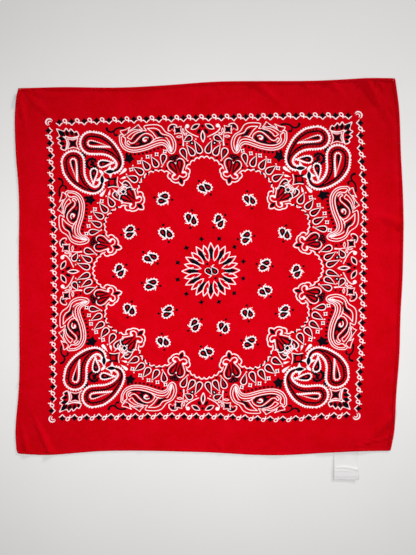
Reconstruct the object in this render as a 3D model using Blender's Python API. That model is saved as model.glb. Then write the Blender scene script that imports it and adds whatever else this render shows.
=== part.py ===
"""A square cotton bandana laid out flat: one panel, a rolled hem on each side and a folded care label.

Metres, +Z up. The table top is z = 0, and the origin is the middle of the footprint.
Run with: blender --background --python part.py
"""

import math

import bpy
from mathutils import Vector

# --- Driving dimensions -------------------------------------------------------------------

# The four corners of the cloth as it lies, before the rolled hem rounds them.
CORNERS = {
    "top_left": Vector((-0.2781, 0.2789)),
    "top_right": Vector((0.2716, 0.2920)),
    "bottom_right": Vector((0.2650, -0.2511)),
    "bottom_left": Vector((-0.2811, -0.2548)),
}

# Each side runs clockwise from one corner to the next. Its rows are (share of the side's
# length, how far the edge lies outside the straight line between its corners).
SIDES = {
    "top": (
        "top_left",
        "top_right",
        ((0.00, 0.0), (0.12, -0.0006), (0.31, -0.0030), (0.50, 0.0015), (0.65, 0.0012),
         (0.78, -0.0006), (0.92, 0.0015), (1.00, 0.0)),
    ),
    "right": (
        "top_right",
        "bottom_right",
        ((0.00, 0.0), (0.08, 0.0057), (0.19, 0.0093), (0.30, 0.0128), (0.41, 0.0150),
         (0.52, 0.0143), (0.63, 0.0123), (0.73, 0.0112), (0.84, 0.0078), (0.94, 0.0054), (1.00, 0.0)),
    ),
    "bottom": (
        "bottom_right",
        "bottom_left",
        ((0.00, 0.0), (0.10, 0.0003), (0.27, 0.0048), (0.38, 0.0039), (0.51, -0.0004),
         (0.64, -0.0023), (0.77, -0.0028), (0.91, 0.0025), (1.00, 0.0)),
    ),
    "left": (
        "bottom_left",
        "top_left",
        ((0.00, 0.0), (0.06, 0.0016), (0.17, -0.0024), (0.28, -0.0035), (0.50, -0.0019),
         (0.72, -0.0009), (0.83, 0.0039), (0.91, 0.0055), (0.97, 0.0035), (1.00, 0.0)),
    ),
}
SIDE_NAMES = tuple(SIDES)

PANEL_THICKNESS = 0.0010
HEM_WIDTH = 0.0040
HEM_HEIGHT = 0.0020
SEAM_GAP = 0.0003
CORNER_PULL = 0.0012  # how far the hem's rounding takes the corner in, along both sides
CORNER_REACH = 0.0060

# The hem's rounded section, as shares of its width (from the outside in) and of its height.
HEM_SECTION = ((0.18, 0.0), (0.0, 0.3), (0.0, 0.7), (0.18, 1.0), (0.82, 1.0), (1.0, 0.7), (1.0, 0.3), (0.82, 0.0))

# Soft folds that lift the cloth off the table. Each runs from its outer end, at full height,
# to its inner end, where it dies away: (outer x, outer y, inner x, inner y, height, half width).
FOLDS = (
    (-0.283, 0.276, -0.190, 0.262, 0.0036, 0.0100),
    (-0.281, 0.284, -0.262, 0.196, 0.0038, 0.0095),
    (-0.278, 0.280, -0.205, 0.212, 0.0028, 0.0110),
    (-0.066, 0.296, -0.108, 0.228, 0.0016, 0.0160),
    (0.058, 0.300, 0.122, 0.236, 0.0040, 0.0110),
    (0.168, 0.298, 0.212, 0.248, 0.0026, 0.0100),
    (0.222, 0.300, 0.284, 0.196, 0.0042, 0.0130),
    (0.292, 0.076, 0.214, 0.104, 0.0030, 0.0110),
    (0.288, -0.060, 0.232, -0.082, 0.0018, 0.0150),
    (0.276, -0.190, 0.206, -0.262, 0.0040, 0.0120),
    (0.096, -0.262, 0.134, -0.190, 0.0016, 0.0140),
    (-0.226, -0.266, -0.266, -0.176, 0.0038, 0.0095),
    (-0.262, -0.262, -0.280, -0.186, 0.0026, 0.0080),
)
FOLD_NARROWING = 0.45  # a fold's width at its inner end, as a share of its full width

LABEL_LEFT = 0.1824
LABEL_WIDTH = 0.0336
LABEL_TOP = -0.2466  # the sewn-in end, under the hem
LABEL_BOTTOM = -0.2926
LABEL_THICKNESS = 0.0012
LABEL_CURL = 0.0016  # how far its free end rises
LABEL_LEVEL = 0.0130  # the cloth over its sewn-in end stays level this far round it
LABEL_EASE_SIDE = 0.0140  # the cloth comes down beside the label over this width
LABEL_EASE_BACK = 0.0220  # and behind it over this length

PANEL_COLUMNS, PANEL_ROWS = 38, 38
HEM_STATIONS = 44
LABEL_COLUMNS, LABEL_ROWS = 6, 10

# name: (base colour, roughness)
FINISHES = {
    "red_cotton": ((0.56, 0.003, 0.008), 0.90),
    "white_tape": ((0.80, 0.79, 0.77), 0.60),
}


# --- Plan ---------------------------------------------------------------------------------


def smooth(t):
    """0 before 0, 1 after 1, with a soft start and end."""
    t = min(1.0, max(0.0, t))
    return t * t * (3 - 2 * t)


def eased(rows, at):
    """A smooth curve through (place, value) rows, read at one place."""
    last = len(rows) - 1
    k = next((i for i in range(last) if at <= rows[i + 1][0]), last - 1)
    (p0, v0), (p1, v1) = rows[k], rows[k + 1]

    def slope(i):
        before, after = rows[max(i - 1, 0)], rows[min(i + 1, last)]
        return (after[1] - before[1]) / (after[0] - before[0])

    width = p1 - p0
    t = (at - p0) / width
    return (
        v0 * (1 + 2 * t) * (1 - t) ** 2
        + slope(k) * width * t * (1 - t) ** 2
        + v1 * t * t * (3 - 2 * t)
        + slope(k + 1) * width * t * t * (t - 1)
    )


def inward(side):
    """The unit vector from a side's chord towards the middle of the cloth."""
    start, end, _ = SIDES[side]
    along = (CORNERS[end] - CORNERS[start]).normalized()
    return Vector((along.y, -along.x))


def edge_point(side, share, inset):
    """A point at a share of a side's length, that far in from the cloth's edge. At a corner, both
    sides give the same point."""
    start, end, waves = SIDES[side]
    index = SIDE_NAMES.index(side)
    own, before, after = (inward(SIDE_NAMES[(index + step) % 4]) for step in (0, -1, 1))
    chord = CORNERS[end] - CORNERS[start]
    from_corner = min(share, 1 - share) * chord.length
    pull = CORNER_PULL * max(0.0, 1 - from_corner / CORNER_REACH) ** 2 * max(0.0, 1 - inset / HEM_WIDTH)
    across = own + (1 - share) * before + share * after
    return CORNERS[start] + share * chord - eased(waves, share) * own + (inset + pull) * across


def panel_point(u, v):
    """A point of the panel: u runs from left to right and v from bottom to top, each from 0 to 1."""
    inset = HEM_WIDTH + SEAM_GAP
    top, bottom = edge_point("top", u, inset), edge_point("bottom", 1 - u, inset)
    left, right = edge_point("left", v, inset), edge_point("right", 1 - v, inset)
    low = (1 - u) * edge_point("bottom", 1, inset) + u * edge_point("bottom", 0, inset)
    high = (1 - u) * edge_point("top", 0, inset) + u * edge_point("top", 1, inset)
    return (1 - v) * bottom + v * top + (1 - u) * left + u * right - (1 - v) * low - v * high


# --- Height above the table ---------------------------------------------------------------


def fold_lift(x, y):
    """How far the folds lift the cloth at a place."""
    lift = 0.0
    for outer_x, outer_y, inner_x, inner_y, height, half_width in FOLDS:
        run = Vector((inner_x - outer_x, inner_y - outer_y))
        away = Vector((x - outer_x, y - outer_y))
        along = away.dot(run) / run.length_squared
        across = abs(away.cross(run)) / run.length
        width = half_width * (1 - (1 - FOLD_NARROWING) * smooth(along))
        if across < width and along < 1:
            ridge = math.cos(math.pi / 2 * across / width) ** 2
            lift = max(lift, height * ridge * smooth(1 - along) * smooth(2 + along))
    return lift


def label_lift(x, y):
    """How far the sewn-in end of the label lifts the cloth over it."""
    beside = max(LABEL_LEFT - LABEL_LEVEL - x, x - LABEL_LEFT - LABEL_WIDTH - LABEL_LEVEL, 0.0)
    behind = max(y - LABEL_TOP - LABEL_LEVEL, 0.0)
    return (LABEL_THICKNESS + SEAM_GAP) * smooth(1 - beside / LABEL_EASE_SIDE) * smooth(1 - behind / LABEL_EASE_BACK)


def underside(x, y):
    return fold_lift(x, y) + label_lift(x, y)


# --- Solids -------------------------------------------------------------------------------


def finish(name):
    colour, roughness = FINISHES[name]
    material = bpy.data.materials.get(name) or bpy.data.materials.new(name)
    material.use_nodes = True
    shader = material.node_tree.nodes["Principled BSDF"]
    shader.inputs["Base Color"].default_value = (*colour, 1)
    shader.inputs["Roughness"].default_value = roughness
    shader.inputs["Metallic"].default_value = 0.0
    return material


def add_object(name, points, faces, material):
    mesh = bpy.data.meshes.new(name)
    mesh.from_pydata([tuple(p) for p in points], [], faces)
    mesh.materials.append(finish(material))
    mesh.update()
    mesh.shade_smooth()
    mesh.set_sharp_from_angle(angle=math.radians(40))
    piece = bpy.data.objects.new(name, mesh)
    bpy.context.collection.objects.link(piece)
    return piece


def add_wall(name, rows, thickness, material):
    """A closed wall of even thickness. rows is a grid of points on its underside, row by row, each
    row running towards +X and the rows towards +Y."""
    across, count = len(rows[0]), len(rows) * len(rows[0])
    low = [point for row in rows for point in row]
    points = low + [point + Vector((0, 0, thickness)) for point in low]
    faces = []
    for r in range(len(rows) - 1):
        for c in range(across - 1):
            a = r * across + c
            quad = (a, a + 1, a + across + 1, a + across)
            faces.append(tuple(reversed(quad)))
            faces.append(tuple(i + count for i in quad))
    rim = list(range(across))
    rim += [r * across + across - 1 for r in range(1, len(rows))]
    rim += [(len(rows) - 1) * across + c for c in range(across - 2, -1, -1)]
    rim += [r * across for r in range(len(rows) - 2, 0, -1)]
    for a, b in zip(rim, rim[1:] + rim[:1]):
        faces.append((a, b, b + count, a + count))
    return add_object(name, points, faces, material)


def end_weighted(share):
    """Spreads stations so that they lie closer together near 0 and 1, where the folds are."""
    return 0.55 * share + 0.45 * (0.5 - 0.5 * math.cos(math.pi * share))


def add_panel():
    rows = []
    for r in range(PANEL_ROWS + 1):
        row = []
        for c in range(PANEL_COLUMNS + 1):
            place = panel_point(end_weighted(c / PANEL_COLUMNS), end_weighted(r / PANEL_ROWS))
            row.append(Vector((place.x, place.y, underside(place.x, place.y))))
        rows.append(row)
    return add_wall("panel", rows, PANEL_THICKNESS, "red_cotton")


def add_hem(side):
    """A rolled hem along one side: its rounded section swept from mitre to mitre."""
    start, end, _ = SIDES[side]
    along = (CORNERS[end] - CORNERS[start]).normalized()
    points, faces, around = [], [], len(HEM_SECTION)
    for station in range(HEM_STATIONS + 1):
        share = end_weighted(station / HEM_STATIONS)
        from_mitre = SEAM_GAP * (1 - 2 * share) * along
        middle = edge_point(side, share, HEM_WIDTH / 2) + from_mitre
        base = underside(middle.x, middle.y)
        for inset, height in HEM_SECTION:
            place = edge_point(side, share, inset * HEM_WIDTH) + from_mitre
            points.append(Vector((place.x, place.y, base + height * HEM_HEIGHT)))
    for station in range(HEM_STATIONS):
        for k in range(around):
            a, b = station * around + k, station * around + (k + 1) % around
            faces.append((a, b, b + around, a + around))
    faces.append(tuple(range(around - 1, -1, -1)))
    faces.append(tuple(range(HEM_STATIONS * around, (HEM_STATIONS + 1) * around)))
    return add_object("hem_" + side, points, faces, "red_cotton")


def add_label():
    """The folded care label: its top end is caught under the hem and its free end curls up a little."""
    rows = []
    for r in range(LABEL_ROWS + 1):
        share = r / LABEL_ROWS
        y = LABEL_BOTTOM + share * (LABEL_TOP - LABEL_BOTTOM)
        row = []
        for c in range(LABEL_COLUMNS + 1):
            x = LABEL_LEFT + LABEL_WIDTH * c / LABEL_COLUMNS
            curl = LABEL_CURL * smooth(1 - share / 0.6) * (0.45 + 0.55 * c / LABEL_COLUMNS)
            row.append(Vector((x, y, curl)))
        rows.append(row)
    return add_wall("care_label", rows, LABEL_THICKNESS, "white_tape")


def main():
    for leftover in list(bpy.data.objects):
        bpy.data.objects.remove(leftover, do_unlink=True)
    add_panel()
    for side in SIDE_NAMES:
        add_hem(side)
    add_label()


main()
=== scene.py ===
"""A red cotton bandana laid out flat: the printed cloth, its rolled and stitched hems and its care label.

Metres and +Z up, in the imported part's frame, whose table top is z = 0. The print is drawn in millimetres.
"""

import math

import bpy
import numpy as np
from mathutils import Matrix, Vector
from mathutils.geometry import delaunay_2d_cdt


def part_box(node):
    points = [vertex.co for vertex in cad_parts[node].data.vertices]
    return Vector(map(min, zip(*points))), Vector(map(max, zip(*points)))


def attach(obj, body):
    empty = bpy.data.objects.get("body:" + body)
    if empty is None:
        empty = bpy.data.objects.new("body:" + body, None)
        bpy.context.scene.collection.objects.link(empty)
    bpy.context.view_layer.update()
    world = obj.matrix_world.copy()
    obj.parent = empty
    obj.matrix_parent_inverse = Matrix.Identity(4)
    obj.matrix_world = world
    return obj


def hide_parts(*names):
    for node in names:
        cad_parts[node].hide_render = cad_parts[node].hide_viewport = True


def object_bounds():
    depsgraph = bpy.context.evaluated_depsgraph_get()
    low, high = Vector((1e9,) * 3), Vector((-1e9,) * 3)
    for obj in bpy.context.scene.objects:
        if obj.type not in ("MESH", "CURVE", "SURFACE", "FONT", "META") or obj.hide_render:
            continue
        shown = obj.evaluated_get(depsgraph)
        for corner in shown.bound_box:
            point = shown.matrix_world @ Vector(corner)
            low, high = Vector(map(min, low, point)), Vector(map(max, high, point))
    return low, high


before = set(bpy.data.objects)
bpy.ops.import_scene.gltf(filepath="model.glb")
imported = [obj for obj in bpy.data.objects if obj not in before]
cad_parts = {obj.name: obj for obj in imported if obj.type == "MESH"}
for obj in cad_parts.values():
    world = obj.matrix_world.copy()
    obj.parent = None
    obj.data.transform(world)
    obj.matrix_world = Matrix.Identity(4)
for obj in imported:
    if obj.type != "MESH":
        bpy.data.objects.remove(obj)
cad_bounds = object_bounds()

# --- Plan of the cloth, as in the part but for its corners ---------------------------------

CORNERS = {
    "top_left": (-0.2781, 0.2789),
    "top_right": (0.2722, 0.2930),
    "bottom_right": (0.2650, -0.2511),
    "bottom_left": (-0.2811, -0.2548),
}

# Each side runs clockwise from one corner to the next. Its rows are (share of the side's
# length, how far the edge lies outside the straight line between its corners).
SIDES = {
    "top": (
        "top_left",
        "top_right",
        ((0.00, 0.0), (0.12, -0.0006), (0.31, -0.0030), (0.50, 0.0015), (0.65, 0.0012),
         (0.78, -0.0006), (0.92, 0.0015), (1.00, 0.0)),
    ),
    "right": (
        "top_right",
        "bottom_right",
        ((0.00, 0.0), (0.08, 0.0057), (0.19, 0.0093), (0.30, 0.0128), (0.41, 0.0150),
         (0.52, 0.0143), (0.63, 0.0123), (0.73, 0.0112), (0.84, 0.0078), (0.94, 0.0054), (1.00, 0.0)),
    ),
    "bottom": (
        "bottom_right",
        "bottom_left",
        ((0.00, 0.0), (0.10, 0.0003), (0.27, 0.0048), (0.38, 0.0039), (0.51, -0.0004),
         (0.64, -0.0023), (0.77, -0.0028), (0.91, 0.0025), (1.00, 0.0)),
    ),
    "left": (
        "bottom_left",
        "top_left",
        ((0.00, 0.0), (0.06, 0.0016), (0.17, -0.0024), (0.28, -0.0035), (0.50, -0.0019),
         (0.72, -0.0009), (0.83, 0.0039), (0.91, 0.0055), (0.97, 0.0035), (1.00, 0.0)),
    ),
}
SIDE_NAMES = tuple(SIDES)

HEM_WIDTH = 0.0040
CORNER_REACH = 0.0070
# How far the hem pulls each corner in, along both sides.
CORNER_PULLS = {"top_left": 0.0001, "top_right": 0.0004, "bottom_right": 0.0003, "bottom_left": 0.0012}


def eased(rows, at):
    """A smooth curve through (place, value) rows, read at many places."""
    places, values = np.array(rows).T
    slopes = np.gradient(values, places)
    slopes[1:-1] = (values[2:] - values[:-2]) / (places[2:] - places[:-2])
    k = np.clip(np.searchsorted(places, at, side="left") - 1, 0, len(places) - 2)
    width = places[k + 1] - places[k]
    t = (at - places[k]) / width
    return (
        values[k] * (1 + 2 * t) * (1 - t) ** 2
        + slopes[k] * width * t * (1 - t) ** 2
        + values[k + 1] * t * t * (3 - 2 * t)
        + slopes[k + 1] * width * t * t * (t - 1)
    )


def inward(side):
    """The unit vector from a side's chord towards the middle of the cloth."""
    start, end, _ = SIDES[side]
    x, y = np.subtract(CORNERS[end], CORNERS[start])
    return np.array((y, -x)) / math.hypot(x, y)


def edge_points(side, shares, inset):
    """Points at shares of a side's length, each that far in from the cloth's edge."""
    start, end, waves = SIDES[side]
    index = SIDE_NAMES.index(side)
    own, before, after = (inward(SIDE_NAMES[(index + step) % 4]) for step in (0, -1, 1))
    chord = np.subtract(CORNERS[end], CORNERS[start])
    shares = np.asarray(shares, float)
    inset = np.broadcast_to(inset, shares.shape)
    from_corner = np.minimum(shares, 1 - shares) * math.hypot(*chord)
    rounding = np.clip(1 - from_corner / CORNER_REACH, 0, 1) ** 2 * np.clip(1 - inset / HEM_WIDTH, 0, 1)
    pull = np.where(shares < 0.5, CORNER_PULLS[start], CORNER_PULLS[end])
    s = shares[:, None]
    across = own + (1 - s) * before + s * after
    on_edge = CORNERS[start] + s * chord - eased(waves, shares)[:, None] * own
    return on_edge + (inset + pull * rounding)[:, None] * across


def outline(inset, per_side):
    """A closed ring of points that far in from the cloth's edge, clockwise."""
    shares = np.arange(per_side) / per_side
    return np.concatenate([edge_points(side, shares, inset) for side in SIDE_NAMES])


# --- Height of the cloth above the table --------------------------------------------------

# (outer x, outer y, inner x, inner y, height, half width), in millimetres: the part's own soft folds.
FOLDS = (
    (-283, 276, -190, 262, 3.6, 10.0),
    (-281, 284, -262, 196, 3.8, 9.5),
    (-278, 280, -205, 212, 2.8, 11.0),
    (-66, 296, -108, 228, 1.6, 16.0),
    (58, 300, 122, 236, 4.0, 11.0),
    (168, 298, 212, 248, 2.6, 10.0),
    (222, 300, 284, 196, 4.2, 13.0),
    (292, 76, 214, 104, 3.0, 11.0),
    (288, -60, 232, -82, 1.8, 15.0),
    (276, -190, 206, -262, 4.0, 12.0),
    (96, -262, 134, -190, 1.6, 14.0),
    (-226, -266, -266, -176, 3.8, 9.5),
    (-262, -262, -280, -186, 2.6, 8.0),
)
FOLD_NARROWING = 0.45

# Finer creases that the part leaves out, in the same columns. A negative height is a furrow.
CREASES = (
    (-268, 262, -224, 268, 1.2, 3.0),
    (-256, 270, -232, 226, -0.8, 4.0),
    (-158, 282, -146, 262, 0.8, 6.0),
    (10, 286, 34, 250, 1.0, 6.0),
    (76, 284, 134, 246, -1.2, 4.0),
    (140, 286, 158, 256, 1.0, 5.0),
    (236, 262, 262, 206, -1.4, 4.5),
    (256, 268, 272, 232, 1.4, 3.5),
    (276, 150, 256, 118, 1.2, 6.0),
    (282, 16, 262, -10, -1.0, 6.0),
    (270, -136, 248, -156, 1.0, 5.5),
    (240, -236, 200, -246, 1.2, 4.0),
    (20, -252, 0, -222, 0.8, 7.0),
    (-100, -256, -82, -230, 1.0, 6.0),
    (-236, -246, -206, -230, -1.0, 4.5),
    (-274, -150, -254, -132, 1.0, 5.5),
    (-276, 60, -258, 78, 0.8, 6.0),
    (268, 120, 262, -200, 1.4, 12.0),
    (246, 80, 240, -180, -0.9, 11.0),
    (-71, 111, -32, 57, 0.8, 6.0),
    (70, 40, 128, 10, 0.7, 7.0),
    (-120, -70, -176, -30, 0.7, 8.0),
)

LABEL_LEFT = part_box("care_label")[0].x
LABEL_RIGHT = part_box("care_label")[1].x
LABEL_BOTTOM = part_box("care_label")[0].y
LABEL_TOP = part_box("care_label")[1].y
LABEL_LIFT = 0.0015  # how far its sewn-in end lifts the cloth over it
LABEL_LEVEL = 0.0130
LABEL_EASE_SIDE = 0.0140
LABEL_EASE_BACK = 0.0220

# Long slack waves, as cotton never lies quite level: (share of the height, per metre in x, in y, start).
SLACK = ((0.30, 21, 9, 1), (0.25, -13, 27, 0), (0.20, 47, -38, 2))
SLACK_HEIGHT = 0.00022

# Short puckers, which the hem draws up and which fade out away from it.
PUCKER_HEIGHT = 0.00026
PUCKER_LENGTH = 0.0031
PUCKER_FADE = 0.014
CLOTH_MIDDLE = (-0.003, 0.017)
HALF_CLOTH = (0.283, 0.271)
OFF_TABLE = 0.0002  # the cloth's underside at its lowest


def smooth(t):
    """0 before 0, 1 after 1, with a soft start and end."""
    t = np.clip(t, 0.0, 1.0)
    return t * t * (3 - 2 * t)


def ridge(x, y, row):
    """The height of one fold at many places."""
    outer_x, outer_y, inner_x, inner_y, height, half_width = np.array(row) / 1000
    run_x, run_y = inner_x - outer_x, inner_y - outer_y
    length = math.hypot(run_x, run_y)
    along = ((x - outer_x) * run_x + (y - outer_y) * run_y) / length**2
    across = np.abs((x - outer_x) * run_y - (y - outer_y) * run_x) / length
    width = half_width * (1 - (1 - FOLD_NARROWING) * smooth(along))
    profile = np.cos(np.pi / 2 * np.clip(across / width, 0, 1)) ** 2
    return height * profile * smooth(1 - along) * smooth(2 + along)


def puckers(x, y):
    """The short waves along the hems, from -1 to 1."""
    from_x, from_y = x - CLOTH_MIDDLE[0], y - CLOTH_MIDDLE[1]
    to_hem = np.minimum(HALF_CLOTH[0] - np.abs(from_x), HALF_CLOTH[1] - np.abs(from_y))
    along = np.where(np.abs(x) > np.abs(from_y), y, x)
    wave = np.sin(along / PUCKER_LENGTH + 2 * np.sin(along / 0.023)) * (0.6 + 0.4 * np.sin(along / 0.037))
    return wave * np.exp(-np.maximum(to_hem, 0) / PUCKER_FADE)


def lift(x, y):
    """How far the cloth's underside stands off the table at many places."""
    height = np.zeros_like(x)
    for row in FOLDS:
        height = np.maximum(height, ridge(x, y, row))
    for row in CREASES:
        height = height + ridge(x, y, row)
    beside = np.maximum(LABEL_LEFT - LABEL_LEVEL - x, x - LABEL_RIGHT - LABEL_LEVEL)
    over_label = smooth(1 - np.maximum(beside, 0) / LABEL_EASE_SIDE)
    over_label = over_label * smooth(1 - np.maximum(y - LABEL_TOP - LABEL_LEVEL, 0) / LABEL_EASE_BACK)
    slack = sum(share * np.sin(in_x * x + in_y * y + start) for share, in_x, in_y, start in SLACK)
    height = height + LABEL_LIFT * over_label + SLACK_HEIGHT * slack + PUCKER_HEIGHT * puckers(x, y)
    return np.maximum(height + OFF_TABLE, 0)


# --- Drawing in millimetres ---------------------------------------------------------------
# The print is drawn flat, in millimetres from its middle, +Y towards the edge without the label.
# A shape is a closed outline and an ink, and a later shape covers an earlier one.

RED, WHITE, BLACK = 0, 1, 2
WHITE_GAIN = 0.84  # white lines print this much of their drawn width


def smooth_line(points, closed=False, steps=6):
    """A smooth line through a few points (Catmull-Rom)."""
    p = np.asarray(points, float)
    ends = (p[-1:], p[:2]) if closed else (2 * p[:1] - p[1:2], 2 * p[-1:] - p[-2:-1])
    p = np.concatenate((ends[0], p, ends[1]))
    t = np.arange(steps)[:, None] / steps
    runs = [
        0.5 * (2 * b + (c - a) * t + (2 * a - 5 * b + 4 * c - d) * t**2 + (3 * b - a - 3 * c + d) * t**3)
        for a, b, c, d in zip(p, p[1:], p[2:], p[3:])
    ]
    return np.concatenate(runs if closed else runs + [p[-2:-1]])


def normals(run):
    """Unit vectors to the left of a line, from the step that it makes at each of its points."""
    run = run / np.maximum(np.hypot(run[:, 0], run[:, 1]), 1e-9)[:, None]
    return np.column_stack((-run[:, 1], run[:, 0]))


def outward(ring):
    """Unit vectors that point out of a closed line, one for each of its points."""
    after = np.roll(ring, -1, axis=0)
    area = np.sum(ring[:, 0] * after[:, 1] - ring[:, 1] * after[:, 0])
    return normals(after - np.roll(ring, 1, axis=0)) * (-1 if area > 0 else 1)


def at_shares(values, count):
    """A few values, spread evenly along a line and blended between."""
    values = np.atleast_1d(np.asarray(values, float))
    return np.interp(np.linspace(0, 1, count), np.linspace(0, 1, len(values)), values)


def spread_along(line, count, endpoint):
    """Points an even distance apart along a line."""
    far = np.concatenate(([0], np.cumsum(np.hypot(*np.diff(line, axis=0).T))))
    where = np.linspace(0, far[-1], count, endpoint=endpoint)
    return np.column_stack([np.interp(where, far, line[:, k]) for k in (0, 1)])


def stroke(points, width, ink=WHITE, steps=6):
    """A brush line: width is one value, or several spread along it. Its ends are round."""
    line = smooth_line(points, steps=steps)
    half = at_shares(width, len(line)) / 2 * (WHITE_GAIN if ink == WHITE else 1)
    left = normals(np.gradient(line, axis=0))
    along = np.column_stack((left[:, 1], -left[:, 0]))
    sides = [line + left * half[:, None], (line - left * half[:, None])[::-1]]
    caps = []
    spread = np.radians([60, 20, -20, -60])[:, None]
    for end, way in ((-1, 1), (0, -1)):
        caps.append(line[end] + half[end] * way * (np.sin(spread) * left[end] + np.cos(spread) * along[end]))
    return (np.concatenate((sides[0], caps[0], sides[1], caps[1])), ink)


def strokes(*rows, ink=WHITE):
    """Several brush lines: each row is the width, and then the points."""
    return [stroke(points, width, ink) for width, *points in rows]


def blob(*points, ink=BLACK, steps=3):
    """A filled shape with a smooth outline through a few points."""
    return (smooth_line(points, closed=True, steps=steps), ink)


def edged(ring, half_width):
    """A closed white line, with red inside it."""
    out = outward(ring) * half_width
    return [(ring + out, WHITE), (ring - out, RED)]


def oval(at, long, wide, turn=0.0, ink=BLACK, count=14):
    """An ellipse, given by its half axes."""
    a = np.linspace(0, 2 * math.pi, count, endpoint=False)
    return (placed(np.column_stack((long * np.cos(a), wide * np.sin(a))), at, turn), ink)


def lens(at, long, wide, turn=0.0, ink=BLACK, count=9):
    """A pointed leaf, given by its half length and half width."""
    x = np.linspace(-1, 1, count)
    y = np.cos(x * math.pi / 2) ** 0.85
    y[[0, -1]] = 0
    ring = np.concatenate((np.column_stack((x, y)), np.column_stack((x, -y))[-2:0:-1]))
    return (placed(ring * (long, wide), at, turn), ink)


def star(at, tips, reach, waist, turn=0.0, ink=BLACK, steps=4):
    """A star with pointed tips and rounded waists between them."""
    a = np.arange(2 * tips * steps) * math.pi / (tips * steps)
    off_tip = np.abs(np.sin(a * tips / 2))
    radius = 1 / (1 / reach + (1 / waist - 1 / reach) * off_tip)
    return (placed(np.column_stack((radius * np.cos(a), radius * np.sin(a))), at, turn), ink)


def stacked(at, turn, *rows):
    """Four-pointed stars, one on the other: each row is the reach, the waist and the ink."""
    return [star(at, 4, reach, waist, turn, ink) for reach, waist, ink in rows]


def placed(points, at=(0.0, 0.0), turn=0.0):
    """Points turned by degrees about the origin and then moved."""
    c, s = math.cos(math.radians(turn)), math.sin(math.radians(turn))
    p = np.asarray(points, float)
    return np.column_stack((c * p[:, 0] - s * p[:, 1], s * p[:, 0] + c * p[:, 1])) + at


def around(radius, degrees):
    """Points on a circle about the origin, at these angles."""
    a = np.radians(degrees)
    return radius * np.column_stack((np.cos(a), np.sin(a)))


def moved(shapes, at=(0.0, 0.0), turn=0.0):
    """Shapes turned by degrees about the origin and then moved."""
    return [(placed(points, at, turn), ink) for points, ink in shapes]


DROP_POINTS = 26  # from tail to head, on each side


def drop(tail, head, width, bend=0.0, inset=0.0, ink=WHITE):
    """A teardrop from the tip of its tail to the far side of its head. bend curls the tail to the
    left, as a share of the length; inset draws the same drop that much smaller all round."""
    x_run, y_run = np.subtract(head, tail)
    length = math.hypot(x_run, y_run)
    start, stop = inset * 0.75 * length / width, length - inset
    middle = length - width / 2
    x = start + (stop - start) * (1 - np.cos(np.linspace(0, math.pi, DROP_POINTS))) / 2
    before = 0.5 - 0.5 * np.cos(math.pi * np.clip((x - start) / (middle - start), 0, 1))
    after = np.sqrt(np.clip(1 - ((x - middle) / (stop - middle)) ** 2, 0, 1))
    half = (width / 2 - inset) * np.where(x < middle, before**0.75, after)
    centre = bend * length * np.clip(1 - x / middle, 0, 1) ** 2
    left, right = np.column_stack((x, centre + half)), np.column_stack((x, centre - half))
    return (placed(np.concatenate((left, right[-2:0:-1])), tail, math.degrees(math.atan2(y_run, x_run))),
            ink)


DROP_LAYERS = ((0.0, WHITE), (1.25, RED), (1.55, BLACK), (4.05, RED))  # how far in each layer starts


def nested_drop(tail, head, width, bend=0.0):
    """The usual drop of this print: a white line, a black band inside it and a red core."""
    return [drop(tail, head, width, bend, inset, ink) for inset, ink in DROP_LAYERS]


def resampled(line, pitch):
    """A closed line with its points an even distance apart."""
    ring = np.concatenate((line, line[:1]))
    length = np.sum(np.hypot(*np.diff(ring, axis=0).T))
    return spread_along(ring, max(8, round(length / pitch)), False)


def feathered(line, tooth, pitch):
    """A closed white outline with a comb of short teeth on its outside."""
    ring = resampled(line, pitch / 3)
    ring = ring[: len(ring) // 3 * 3]
    height = np.tile((0.0, 1.0, 0.85), len(ring) // 3) * tooth
    return (ring + outward(ring) * height[:, None], WHITE)


def swept(spine, steps=6):
    """The outline of a body that follows a spine of rows (x, y, half width), with a round end at
    its start."""
    line = smooth_line(spine[:, :2], steps=steps)
    half = at_shares(spine[:, 2], len(line))
    left = normals(np.gradient(line, axis=0))
    along = np.column_stack((left[:, 1], -left[:, 0]))
    spread = np.radians(np.linspace(75, -75, 11))[:, None]
    cap = line[0] - half[0] * (np.cos(spread) * along[0] + np.sin(spread) * left[0])
    return np.concatenate((line + left * half[:, None], (line - left * half[:, None])[::-1], cap))


# --- Motifs of the frame, drawn in the left half of the top side ---------------------------


STAR_EDGE = (
    (-180.2, 200.2), (-189.4, 198.2), (-195.8, 198.8), (-201.0, 201.0), (-198.8, 195.8), (-198.2, 189.4),
    (-200.2, 180.2),
)


def crown():
    """The leaf crown over the corner star: this half has half the corner petal and three more."""
    petals = (
        # tip, foot, half width
        ((-209.6, 209.6), (-200.6, 200.6), 3.5),
        ((-198.4, 209.6), (-195.8, 200.8), 2.9),
        ((-191.2, 208.6), (-189.2, 200.4), 2.7),
        ((-184.2, 205.6), (-184.2, 200.0), 2.2),
    )
    shapes = []
    for tip, foot, half in petals:
        x, y = np.subtract(tip, foot)
        middle = np.add(tip, foot) / 2
        shapes.append(lens(middle, math.hypot(x, y) / 2 + 0.4, half, math.degrees(math.atan2(y, x))))
    return shapes


CROWN_EDGE = (
    (-203.2, 200.0), (-197.0, 199.3), (-191.0, 197.4), (-183.5, 198.0), (-180.4, 200.6), (-180.9, 203.9),
    (-183.4, 207.2), (-186.6, 206.0), (-191.4, 210.9), (-194.3, 207.6), (-198.3, 212.3), (-201.2, 208.4),
    (-206.5, 209.6),
)
CROWN_TIP = (-212.0, 212.0)


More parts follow.
